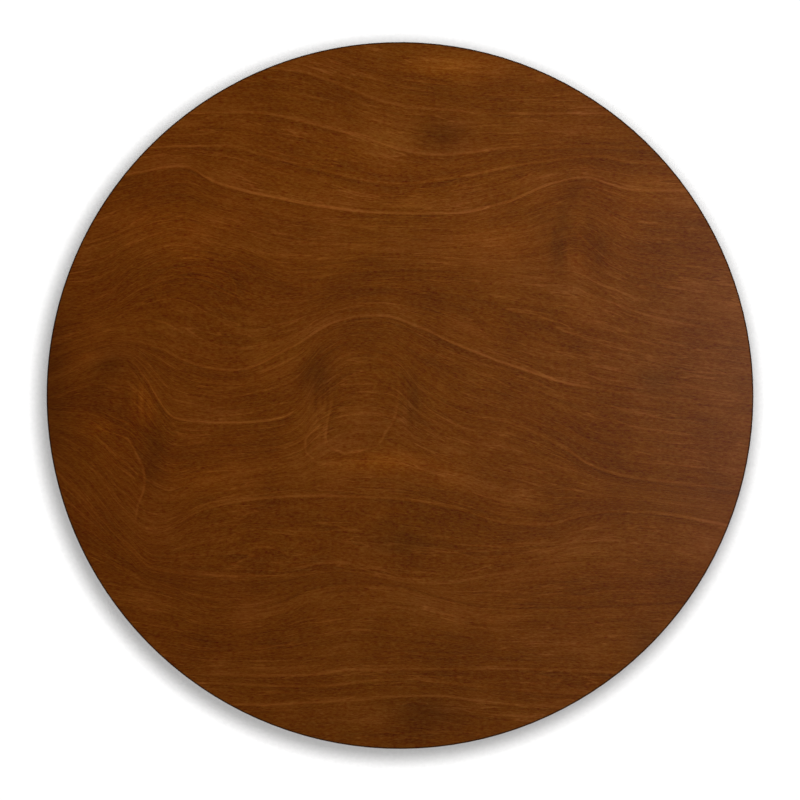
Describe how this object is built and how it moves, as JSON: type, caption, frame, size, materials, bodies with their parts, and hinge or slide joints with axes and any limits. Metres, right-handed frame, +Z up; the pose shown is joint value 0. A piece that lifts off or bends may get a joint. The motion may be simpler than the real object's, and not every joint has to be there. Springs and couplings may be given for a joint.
{
  "type": "tilt-top table",
  "caption": "Round stained-veneer table top that tips upright on a turned pillar with a tripod of curved legs, locked level by a brass spring catch.",
  "frame": {"origin": "on the floor under the pillar's axis, which is also the centre of the round top when level", "axes": "+Z up, +Y to the back where the catch is, +X to the right and along the tilt axis and the top's grain"},
  "size_m": [0.6099, 0.61, 0.7],
  "materials": {
    "top_veneer": "birch veneer, rotary cut, stained walnut brown, satin lacquer",
    "under_veneer": "birch backing veneer, thin stain, dull sealer",
    "core_board": "laminated softwood core board, raw",
    "lipping": "solid birch edge, stained dark, satin lacquer",
    "stained_wood": "solid birch, stained walnut brown, satin lacquer",
    "wedge_wood": "birch wedge, thin stain",
    "spider_steel": "sheet steel, black japanned",
    "steel": "zinc plated screws and nails",
    "spring_steel": "drawn spring wire",
    "brass": "aged brass, thin lacquer",
    "pivot_steel": "bronzed furniture bolts",
    "glide_nylon": "brown nylon"
  },
  "bodies": {
    "base": {"tilt_block": "stained_wood", "tenon_wedge": "wedge_wood", "strike_plate": "brass", "strike_screws": "brass", "pivot_insert_left": "brass", "pivot_insert_right": "brass", "pivot_bolt_left": "pivot_steel", "pivot_bolt_right": "pivot_steel", "pivot_washer_left": "glide_nylon", "pivot_washer_right": "glide_nylon", "pillar": "stained_wood", "leg_front": "stained_wood", "leg_back_left": "stained_wood", "leg_back_right": "stained_wood", "spider_plate": "spider_steel", "spider_screws": "steel", "glide_front": "glide_nylon", "glide_back_left": "glide_nylon", "glide_back_right": "glide_nylon", "glide_nails": "steel"},
    "top": {"face_veneer": "top_veneer", "top_core": "core_board", "edge_lipping": "lipping", "back_veneer": "under_veneer", "batten_left": "stained_wood", "batten_right": "stained_wood", "batten_screws_left": "steel", "batten_screws_right": "steel", "pivot_bush_left": "brass", "pivot_bush_right": "brass", "catch_case": "brass", "catch_back_plate": "brass", "catch_spring": "spring_steel", "catch_screws": "brass"},
    "catch_bolt": {"catch_bolt": "brass", "catch_knob": "brass"}
  },
  "joints": [
    {"name": "top_tilt", "type": "hinge", "parent": "base", "child": "top", "pos_m": [0, -0.056, 0.6615], "axis": [1, 0, 0], "range_deg": [0, 90]},
    {"name": "catch_slide", "type": "slide", "parent": "top", "child": "catch_bolt", "axis": [0, 1, 0], "range_m": [0, 0.01], "stiffness_N_per_m": 300, "springref_m": -0.012, "deforming": ["catch_spring"]}
  ]
}
